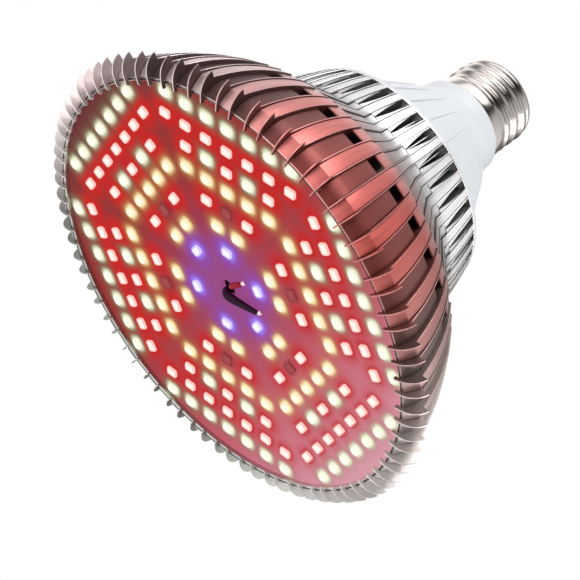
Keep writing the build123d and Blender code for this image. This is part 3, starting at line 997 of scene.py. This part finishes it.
# the infrared diodes are square and look unlit: their dark red glow is painted red light from the
# diodes round them
pattern = model_diode(LED_LENGTH, LED_LENGTH, UNLIT_CORNER)
pattern.data.materials[0] = glowing("unlit_frame", UNLIT_RIM_PAINTED_RED)
pattern.data.materials[1] = glowing("unlit_window", UNLIT_WINDOW_PAINTED_RED)
piece = copies(pattern, led_places("infrared"), "infrared_diodes")
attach(piece, "root")
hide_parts("infrared_leds")

# %% [markdown]
# ## Leads and solder
#
# Two soft sleeved wires come out of the hole in the middle of the board and lie
# on it, each with its end soldered down. Each sleeve is a tube that follows a
# few points and is fatter where it bends. The solder is a small dome.

# %% Leads and solder
# points in millimetres with the sleeve's radius there
BLACK_PATH = [
    (0.0, -1.9, 16.4, 0.62), (0.0, -1.9, 8.0, 0.62), (0.1, -1.7, 4.2, 0.85),
    (-0.2, -1.4, 2.4, 1.2), (-1.6, -0.6, 1.45, 1.32), (-4.4, 1.1, 1.5, 1.15),
    (-7.4, 3.1, 1.7, 0.92), (-10.2, 4.9, 1.9, 0.72),
]
RED_PATH = [
    (0.0, 1.45, 16.4, 0.62), (0.0, 1.45, 8.0, 0.62), (-0.1, 1.6, 4.2, 0.8),
    (-0.4, 2.6, 2.5, 0.95), (-0.8, 4.2, 1.7, 0.95), (-1.3, 6.0, 1.8, 0.85),
    (-1.9, 7.4, 2.0, 0.7),
]
SOLDER_PLACES = [(-10.9, 5.3), (-2.2, 8.1)]
SOLDER_RADIUS = 0.85
SOLDER_HEIGHT = 1.0
ROUND_ANGLE = 50


def model_lead(name, path):
    """A round sleeve along a path, as a closed mesh."""
    data = bpy.data.curves.new(name, "CURVE")
    data.dimensions = "3D"
    data.bevel_depth = MM
    data.bevel_resolution = 4
    data.use_fill_caps = True
    spline = data.splines.new("NURBS")
    spline.points.add(len(path) - 1)
    for point, (x, y, z, radius) in zip(spline.points, path):
        point.co = (x * MM, y * MM, z * MM, 1.0)
        point.radius = radius
    spline.order_u = 4
    spline.resolution_u = 6
    spline.use_endpoint_u = True
    piece = bpy.data.objects.new(name, data)
    scene.collection.objects.link(piece)
    select_only(piece)
    bpy.ops.object.convert(target="MESH")
    piece = bpy.context.active_object
    piece.name = piece.data.name = name
    smooth(piece, ROUND_ANGLE)
    return piece


def model_domes():
    """A dome of solder on the board at the end of each lead."""
    select_only()
    bpy.ops.mesh.primitive_uv_sphere_add(segments=24, ring_count=12, radius=1)
    dome = bpy.context.active_object
    dome.scale = (SOLDER_RADIUS * MM, SOLDER_RADIUS * MM, SOLDER_HEIGHT * MM)
    apply_place()
    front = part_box("led_board")[0].z
    spots = [Matrix.Translation((x * MM, y * MM, front)) for x, y in SOLDER_PLACES]
    whole = copies(dome, spots, "solder_domes")
    smooth(whole, ROUND_ANGLE)
    whole.data.materials.append(solder)
    return whole


for colour, path, sleeve in (("black", BLACK_PATH, black_sleeve), ("red", RED_PATH, red_sleeve)):
    lead = model_lead(f"{colour}_sleeve_wire", path)
    lead.data.materials.append(sleeve)
    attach(lead, "root")
    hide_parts(f"{colour}_lead")
    print(lead.name, len(lead.data.polygons))

domes = model_domes()
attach(domes, "root")
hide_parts("solder_joints")
print(domes.name, len(domes.data.polygons))

# %% [markdown]
# ## Screw shell
#
# The cap's thread is rolled into thin sheet, so it is a smooth wave that climbs
# one pitch each turn and fades out at both ends. The wall is drawn as a line,
# spun once round the axis, and its points are then pressed in or out by how
# far up the thread they are.

# %% Screw shell
SHELL_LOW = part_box("screw_shell")[0].z / MM
SHELL_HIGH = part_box("screw_shell")[1].z / MM
SHELL_WALL = 0.3
SHELL_TURN_STEPS = 96
SKIRT_RADIUS = 13.3
SKIRT_TOP = SHELL_LOW + 4.2
THREAD_MIDDLE = 12.72
THREAD_DEPTH = 0.43
THREAD_PITCH = 3.62
THREAD_START = SHELL_LOW + 5.4
THREAD_END = SHELL_HIGH - 2.3
THREAD_FADE = 1.3
THREAD_STEPS = 48
MERGE_WITHIN = 0.01 * MM


def thread_wave(height, angle):
    """How far the thread stands out at a height and an angle."""
    turns = (height - THREAD_START) / THREAD_PITCH - angle / (2 * math.pi)
    rise = min(max((height - THREAD_START) / THREAD_FADE, 0.0), 1.0)
    fall = min(max((THREAD_END - height) / THREAD_FADE, 0.0), 1.0)
    return THREAD_DEPTH * math.cos(2 * math.pi * turns) * min(rise, fall)


def shell_profile():
    """The wall as radius and height, from the rim at the housing to the mouth."""
    skirt = [
        (SKIRT_RADIUS - 0.6, SHELL_LOW + 0.05),
        (SKIRT_RADIUS - 0.12, SHELL_LOW + 0.02),
        (SKIRT_RADIUS, SHELL_LOW + 0.2),
        (SKIRT_RADIUS, SHELL_LOW + 2.0),
        (SKIRT_RADIUS, SKIRT_TOP - 0.5),
        (SKIRT_RADIUS - 0.15, SKIRT_TOP),
        (THREAD_MIDDLE + 0.1, THREAD_START - 0.5),
    ]
    rise = (THREAD_END - THREAD_START) / THREAD_STEPS
    thread = [(THREAD_MIDDLE, THREAD_START + rise * step) for step in range(THREAD_STEPS + 1)]
    mouth = [
        (THREAD_MIDDLE - 0.1, THREAD_END + 0.5),
        (12.25, THREAD_END + 1.2),
        (11.5, SHELL_HIGH - 0.35),
        (10.8, SHELL_HIGH - 0.08),
        (9.9, SHELL_HIGH),
        (9.72, SHELL_HIGH - 0.1),
        (9.72, SHELL_HIGH - 0.4),
    ]
    return skirt + thread + mouth


def model_shell():
    """The wall spun round the axis, then the thread pressed into it."""
    shell = line_piece("thread_shell", shell_profile())
    edit_whole(shell)
    bpy.ops.mesh.spin(steps=SHELL_TURN_STEPS, angle=2 * math.pi, center=(0, 0, 0), axis=(0, 0, 1))
    bpy.ops.mesh.select_all(action="SELECT")
    bpy.ops.mesh.remove_doubles(threshold=MERGE_WITHIN)
    bpy.ops.mesh.normals_make_consistent(inside=False)
    bpy.ops.object.mode_set(mode="OBJECT")
    for vertex in shell.data.vertices:
        x, y, z = vertex.co
        radius = math.hypot(x, y)
        grown = radius + thread_wave(z / MM, math.atan2(y, x)) * MM
        vertex.co = (x * grown / radius, y * grown / radius, z)
    apply_modifier(shell, "SOLIDIFY", thickness=SHELL_WALL * MM, offset=-1)
    smooth(shell, ROUND_ANGLE)
    shell.data.materials.append(nickel)
    return shell


shell = model_shell()
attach(shell, "root")
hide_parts("screw_shell")
print("shell faces:", len(shell.data.polygons))

# %% [markdown]
# ## Folded fins
#
# The real heat sink is folded from sheet, and a camera close by sees many kinds
# of sheet. Radial blades have outer edges that catch the light as thin lines on
# their bevels, with a painted highlight, and their sides carry a painted shade.
# Bright plates close each folded pair, on the bell and on the neck. Between the
# pairs there is a plate set back and darkened with painted shade, a square hole
# above it, and a bright cover over the waist. The neck's gaps hold two tapered
# flaps and a thin strip.
# Each sheet is a flat grid that is laid on a curve. One pair is modelled and
# then copied forty times round the axis.

# %% Fin curves
PAIRS = 40
PAIR_STEP = 360 / PAIRS
PAIR_PHASE = -2.3
SPREAD = 4.1
BELL_LOW = (67.5, 5.4)
BELL_HIGH = (53.6, 32.5)
BELL_SAG = 1.5
WAIST_LOW = (52.8, 32.5)
WAIST_HIGH = (40.0, 46.2)
NECK_HIGH = (35.4, 63.15)
NECK_SAG = 0.35
HOOK_RADIUS = 62.0
CORE_RADIUS = 25.6
TRAY_TOP = 6.2
LIP_HEIGHT = 1.35
TOOTH = [
    (64.6, 0.3), (65.8, 0.6), (66.9, 1.1), (67.8, 1.8), (68.6, 2.7), (69.2, 3.8), (69.6, 5.1),
]


def curve_points(start, end, sag, steps):
    """Points from start to end on a curve that bulges outwards by sag."""
    along = (end[0] - start[0], end[1] - start[1])
    length = math.hypot(*along)
    out = (along[1] / length, -along[0] / length)
    points = []
    for step in range(steps + 1):
        share = step / steps
        bulge = 4 * sag * share * (1 - share)
        points.append((
            start[0] + along[0] * share + out[0] * bulge,
            start[1] + along[1] * share + out[1] * bulge,
        ))
    return points


bell = curve_points(BELL_LOW, BELL_HIGH, BELL_SAG, 16)
waist = curve_points(WAIST_LOW, WAIST_HIGH, 0.0, 4)
neck = curve_points(WAIST_HIGH, NECK_HIGH, NECK_SAG, 6)


def blade_outline():
    """The blade's outline: tooth, bell, waist, neck, core and hook."""
    inner = [
        (CORE_RADIUS, NECK_HIGH[1]),
        (CORE_RADIUS, TRAY_TOP),
        (LIP_EDGE, TRAY_TOP),
        (LIP_EDGE, LIP_HEIGHT),
        (HOOK_RADIUS, LIP_HEIGHT),
        (HOOK_RADIUS - 0.2, 0.6),
        (HOOK_RADIUS + 0.4, 0.05),
    ]
    return TOOTH + bell + waist + neck[1:] + inner


# %% Fin pieces
PLATE_SHEET = 0.5
BLADE_SHEET = 0.36
THIN_SHEET = 0.4
BLADE_BEVEL = 0.05
SEAM = 0.12
# plates sink below the blades' edges at the rim, by this much and up to this height
RIM_SINK = 1.3
RIM_SINK_TOP = 14.0
# how far below the blades' edges each plate lies
BELL_INSET = 0.28
NECK_INSET = 0.25
SLOT_INSET = 1.3
COVER_INSET = 0.8
FLAP_INSET = 0.5
STRIP_INSET = 2.4
# the bell plate is crowned, and round over the last stretch of its far end
BELL_CROWN = 0.12
BELL_ROUND = 2.2
ROUND_LEAST = 0.4
BELL_RIM = [(65.6, 1.35), (66.3, 2.4), (66.9, 3.8)]
SLOT_RIM = [(66.4, 1.5), (66.7, 2.6), (67.1, 4.0)]
SLOT_END = 24.5
COVER_START = 27.4
COVER_BEND = (53.0, 33.2)
NECK_TUCK = (52.3, 31.7)
FLAP_SHARE = 0.42
FLAP_FALL = 1.4
STRIP_HALF = 0.4


def model_blade(side):
    """A sheet blade, turned to one side of its pair."""
    piece = line_piece("blade", blade_outline(), closed=True)
    edit_whole(piece)
    bpy.ops.mesh.edge_face_add()
    bpy.ops.object.mode_set(mode="OBJECT")
    apply_modifier(piece, "SOLIDIFY", thickness=BLADE_SHEET * MM, offset=0)
    apply_modifier(piece, "BEVEL", width=BLADE_BEVEL * MM, segments=1, limit_method="ANGLE",
                   angle_limit=SHARP_EDGE)
    piece.data.materials.append(painted_highlight_metal)
    piece.data.materials.append(painted_shade_metal)
    # the blade's edges get a painted highlight, its sides a painted shade
    for face in piece.data.polygons:
        face.material_index = int(abs(face.normal.y) > FACING)
    piece.data.transform(Matrix.Rotation(math.radians(side * SPREAD / 2), 4, "Z"))
    return piece


def laid_grid(columns, rows, lay):
    """A flat grid of points, each laid by its share across and its row."""
    select_only()
    bpy.ops.mesh.primitive_grid_add(x_subdivisions=columns, y_subdivisions=rows - 1, size=1)
    piece = bpy.context.active_object
    for vertex in piece.data.vertices:
        row = round((vertex.co.y + 0.5) * (rows - 1))
        vertex.co = lay(vertex.co.x + 0.5, row)
    return piece


def plate(curve, columns, start, end, inset, crown=0.0, end_round=0.0):
    """A grid laid on a curve between two angles, with its far corners rounded."""
    middle = Matrix.Rotation(math.radians((start + end) / 2), 3, "Z")
    spread = math.tan(math.radians((end - start) / 2))
    top = curve[-1][1]

    def lay(share, row):
        across = share * 2 - 1
        radius, height = curve[row]
        radius -= inset + crown * across * across
        radius -= RIM_SINK * max(0.0, 1.0 - height / RIM_SINK_TOP) ** 2
        half = radius * spread - PLATE_SHEET / 2 - SEAM
        if end_round > 0:
            left = max(0.0, 1.0 - (top - height) / end_round)
            half *= max(math.sqrt(1.0 - left * left), ROUND_LEAST)
        return middle @ Vector((radius * MM, across * half * MM, height * MM))

    return laid_grid(columns, len(curve), lay)


def flap(edge, width):
    """A tapered sheet beside a blade of the neck, wide at the waist."""
    curve = neck[1:]

    def lay(share, row):
        left = (1.0 - row / (len(curve) - 1)) ** FLAP_FALL
        turn = math.radians(edge + share * width * left)
        radius = curve[row][0] - FLAP_INSET
        return (radius * math.cos(turn) * MM, radius * math.sin(turn) * MM, curve[row][1] * MM)

    return laid_grid(2, len(curve), lay)


def thicken(piece, thickness, material):
    """Gives a plate its sheet thickness, inwards from the outer face."""
    edit_whole(piece)
    bpy.ops.mesh.normals_make_consistent(inside=False)
    bpy.ops.object.mode_set(mode="OBJECT")
    outward = sum(face.normal.dot(face.center.normalized()) for face in piece.data.polygons)
    if outward < 0:
        piece.data.flip_normals()
    apply_modifier(piece, "SOLIDIFY", thickness=thickness * MM, offset=-1)
    piece.data.materials.append(material)
    return piece


def pair_pieces():
    """All sheets of one folded pair and of the gap after it."""
    half = SPREAD / 2
    after = PAIR_STEP - half
    middle = PAIR_STEP / 2
    flap_width = (PAIR_STEP - SPREAD) * FLAP_SHARE
    slot = SLOT_RIM + [point for point in bell[1:] if point[1] <= SLOT_END]
    cover = [point for point in bell if point[1] >= COVER_START] + [COVER_BEND]
    bell_plate = plate(BELL_RIM + bell, 6, -half, half, BELL_INSET, BELL_CROWN, BELL_ROUND)
    slot_plate = plate(slot, 4, half, after, SLOT_INSET)
    thin = [
        plate([NECK_TUCK] + waist[1:] + neck[1:], 4, -half, half, NECK_INSET),
        plate(cover + waist[1:] + neck[1:2], 6, half, after, COVER_INSET),
        flap(half, flap_width),
        flap(after, -flap_width),
        plate(neck[1:], 2, middle - STRIP_HALF, middle + STRIP_HALF, STRIP_INSET),
    ]
    pieces = [model_blade(-1), model_blade(1), thicken(bell_plate, PLATE_SHEET, sheet_metal)]
    # the plate set back between the pairs carries a painted shade
    pieces.append(thicken(slot_plate, THIN_SHEET, painted_shade_metal))
    pieces += [thicken(sheet, THIN_SHEET, sheet_metal) for sheet in thin]
    return pieces


# %% Fins
CORE_WALL = 1.0
CORE_SIDES = 80
RING_WALL = 0.8
RING_SIDES = 120
RING_HEIGHT = 0.3
FIN_ANGLE = 35


def model_tube(radius, low, high, wall, sides, material):
    """A round wall round the axis, thickened inwards."""
    select_only()
    bpy.ops.mesh.primitive_cylinder_add(
        vertices=sides, radius=radius * MM, depth=(high - low) * MM, end_fill_type="NOTHING",
        location=(0, 0, (low + high) / 2 * MM),
    )
    tube = bpy.context.active_object
    apply_place()
    apply_modifier(tube, "SOLIDIFY", thickness=wall * MM, offset=-1)
    tube.data.materials.append(material)
    return tube


def model_fins():
    """Forty folded pairs round the core tube, with a thin ring on top, as one piece."""
    pattern = joined(pair_pieces(), "pair")
    turns = [math.radians(PAIR_PHASE + PAIR_STEP * index) for index in range(PAIRS)]
    whole = copies(pattern, [Matrix.Rotation(turn, 4, "Z") for turn in turns], "folded_fins")
    radius, top = NECK_HIGH
    # the core tube carries a painted shade, the top ring a painted highlight
    core = model_tube(CORE_RADIUS, TRAY_TOP, top, CORE_WALL, CORE_SIDES, painted_shade_metal)
    ring = model_tube(radius, top - RING_HEIGHT, top, RING_WALL, RING_SIDES, painted_highlight_metal)
    whole = joined([whole, core, ring], "folded_fins")
    smooth(whole, FIN_ANGLE)
    return whole


fins = model_fins()
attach(fins, "root")
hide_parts("heat_sink")
print("fin faces:", len(fins.data.polygons))
